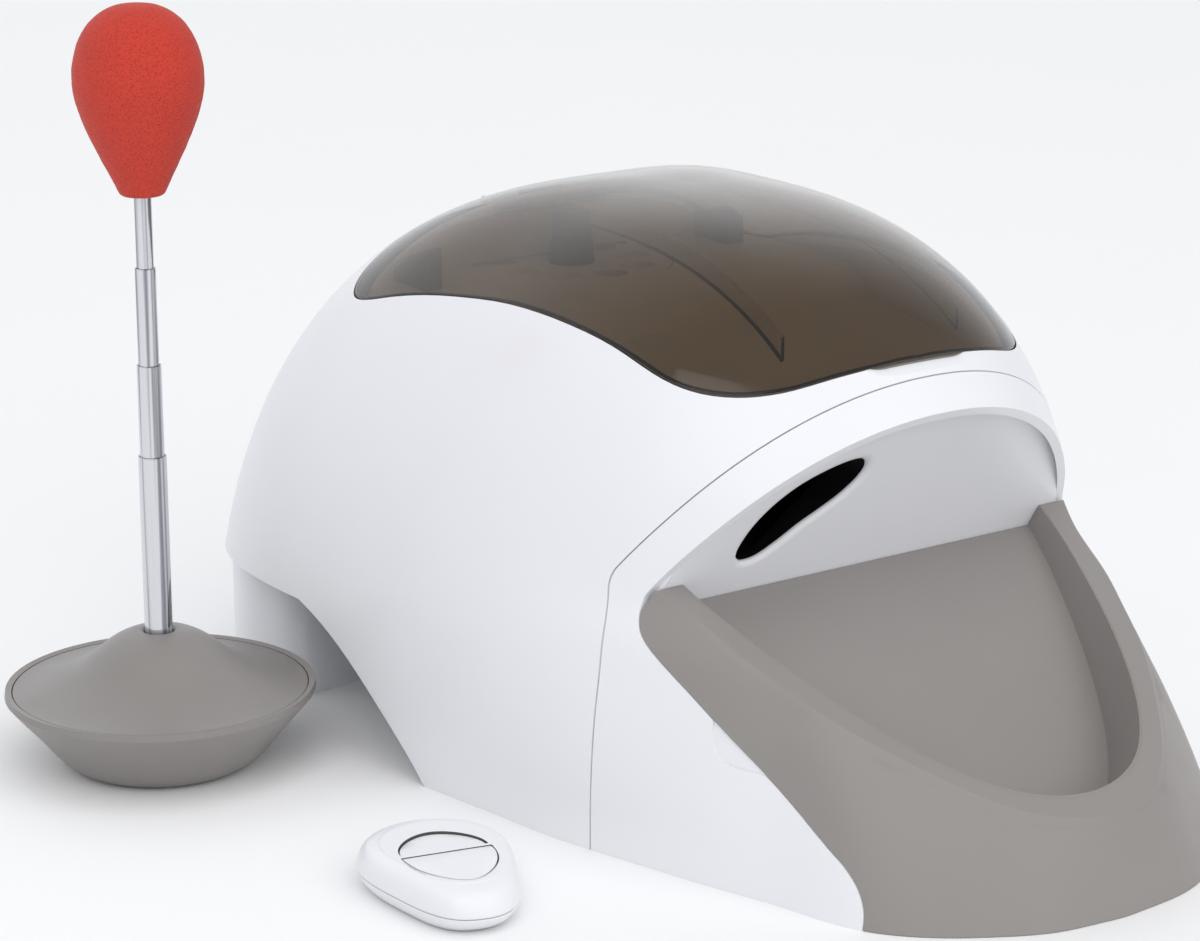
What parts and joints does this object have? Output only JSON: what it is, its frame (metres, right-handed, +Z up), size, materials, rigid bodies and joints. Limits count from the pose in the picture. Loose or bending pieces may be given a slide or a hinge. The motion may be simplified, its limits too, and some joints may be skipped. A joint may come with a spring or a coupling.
{
  "type": "push button treat dispenser",
  "caption": "Remote-controlled pet treat dispenser: domed white body, smoked hopper lid, treat slot over a grey food tray, with a telescoping target wand and a two-key remote.",
  "frame": {"origin": "on the dispenser's flat underside at floor level, on its centre plane, below the joint line between body shell and front fascia", "axes": "+Z up, -Y to the front (treat slot and tray), the wand and the remote stand on the -X side"},
  "size_m": [0.4434, 0.5074, 0.327],
  "materials": {
    "white_shell": "cool white, moulded, soft sheen",
    "tray_grey": "warm grey, fine satin",
    "smoked_lid": "smoky brown, see-through, polished",
    "beige_deck": "beige, satin",
    "grey_plastic": "mid grey, satin",
    "black_plastic": "black, matt",
    "gear_nylon": "natural nylon",
    "steel": "plain steel",
    "pad_rubber": "black rubber",
    "cell_jacket": "plain dark jacket",
    "board_green": "green board lacquer",
    "screen_grey": "grey-green display",
    "wand_grey": "warm grey, satin",
    "chrome_tube": "bright chrome",
    "red_foam": "red foam, matt, fine pores"
  },
  "bodies": {
    "housing": {"body_shell": "white_shell", "front_fascia": "white_shell", "face_plate": "white_shell", "seam_strip": "white_shell", "lid_seat": "beige_deck", "slot_liner": "black_plastic", "treat_chute": "beige_deck", "hopper_tub": "beige_deck", "hopper_catches": "grey_plastic", "disc_seat": "beige_deck", "gear_motor": "steel", "drive_frame": "grey_plastic", "base_pan": "white_shell", "foot_pads": "pad_rubber", "battery_bay": "white_shell", "battery_cells": "cell_jacket", "battery_contacts": "steel", "speaker": "black_plastic", "main_board": "board_green", "case_screws": "steel", "control_panel": "grey_plastic", "panel_screen": "screen_grey", "panel_board": "board_green", "hinge_pin": "steel"},
    "lid": {"lid": "smoked_lid", "lid_ribs": "smoked_lid"},
    "treat_disc": {"treat_disc": "beige_deck", "disc_hub": "grey_plastic", "disc_spindle": "steel", "disc_gear": "gear_nylon"},
    "motor_rotor": {"motor_pinion": "gear_nylon", "motor_shaft": "steel"},
    "food_tray": {"tray_skirt": "tray_grey", "tray_bowl": "tray_grey"},
    "battery_door": {"battery_door": "white_shell"},
    "panel_button_1": {"panel_button_1": "grey_plastic"},
    "panel_button_2": {"panel_button_2": "grey_plastic"},
    "panel_button_3": {"panel_button_3": "grey_plastic"},
    "panel_button_4": {"panel_button_4": "grey_plastic"},
    "power_switch": {"power_switch": "black_plastic"},
    "wand": {"wand_bowl": "wand_grey", "wand_cover": "wand_grey", "wand_weight": "steel", "wand_tube_1": "chrome_tube"},
    "wand_tube_2": {"wand_tube_2": "chrome_tube"},
    "wand_tube_3": {"wand_tube_3": "chrome_tube"},
    "wand_tube_4": {"wand_tube_4": "chrome_tube", "foam_tip": "red_foam"},
    "remote": {"remote_bottom": "white_shell", "remote_top": "white_shell", "remote_board": "board_green", "coin_cell": "steel", "coin_cover": "white_shell"},
    "remote_stay_key": {"remote_stay_key": "white_shell"},
    "remote_drop_key": {"remote_drop_key": "white_shell"}
  },
  "joints": [
    {"name": "lid_hinge", "type": "hinge", "parent": "housing", "child": "lid", "pos_m": [0, 0.2265, 0.2165], "axis": [-1, 0, 0], "range_deg": [0, 85]},
    {"name": "disc_spin", "type": "hinge", "parent": "housing", "child": "treat_disc", "pos_m": [0, 0.2, 0.19], "axis": [0, 0, 1], "continuous": true},
    {"name": "motor_spin", "type": "hinge", "parent": "housing", "child": "motor_rotor", "pos_m": [0.045, 0.2, 0.15], "axis": [0, 0, 1], "continuous": true},
    {"name": "tray_slide", "type": "slide", "parent": "housing", "child": "food_tray", "axis": [0, -1, 0], "range_m": [0, 0.12]},
    {"name": "battery_door_drop", "type": "slide", "parent": "housing", "child": "battery_door", "axis": [0, 0, -1], "range_m": [0, 0.03]},
    {"name": "panel_button_1_press", "type": "slide", "parent": "housing", "child": "panel_button_1", "axis": [0, -0.891, -0.454], "range_m": [0, 0.0012], "stiffness_N_per_m": 250},
    {"name": "panel_button_2_press", "type": "slide", "parent": "housing", "child": "panel_button_2", "axis": [0, -0.891, -0.454], "range_m": [0, 0.0012], "stiffness_N_per_m": 250},
    {"name": "panel_button_3_press", "type": "slide", "parent": "housing", "child": "panel_button_3", "axis": [0, -0.891, -0.454], "range_m": [0, 0.0012], "stiffness_N_per_m": 250},
    {"name": "panel_button_4_press", "type": "slide", "parent": "housing", "child": "panel_button_4", "axis": [0, -0.891, -0.454], "range_m": [0, 0.0012], "stiffness_N_per_m": 250},
    {"name": "power_switch_slide", "type": "slide", "parent": "housing", "child": "power_switch", "axis": [1, 0, 0], "range_m": [0, 0.004]},
    {"name": "wand_lift", "type": "slide", "parent": "housing", "child": "wand", "axis": [0, 0, 1], "range_m": [0, 0.1]},
    {"name": "wand_tube_2_slide", "type": "slide", "parent": "wand", "child": "wand_tube_2", "axis": [0, 0, -1], "range_m": [0, 0.0375]},
    {"name": "wand_tube_3_slide", "type": "slide", "parent": "wand_tube_2", "child": "wand_tube_3", "axis": [0, 0, -1], "range_m": [0, 0.0395]},
    {"name": "wand_tube_4_slide", "type": "slide", "parent": "wand_tube_3", "child": "wand_tube_4", "axis": [0, 0, -1], "range_m": [0, 0.029]},
    {"name": "remote_lift", "type": "slide", "parent": "housing", "child": "remote", "axis": [0, 0, 1], "range_m": [0, 0.1]},
    {"name": "remote_stay_press", "type": "slide", "parent": "remote", "child": "remote_stay_key", "axis": [0, 0, -1], "range_m": [0, 0.001], "stiffness_N_per_m": 300},
    {"name": "remote_drop_press", "type": "slide", "parent": "remote", "child": "remote_drop_key", "axis": [0, 0, -1], "range_m": [0, 0.001], "stiffness_N_per_m": 300}
  ],
  "couplings": [
    {"joint": "motor_spin", "follows": "disc_spin", "ratio": -4}
  ]
}
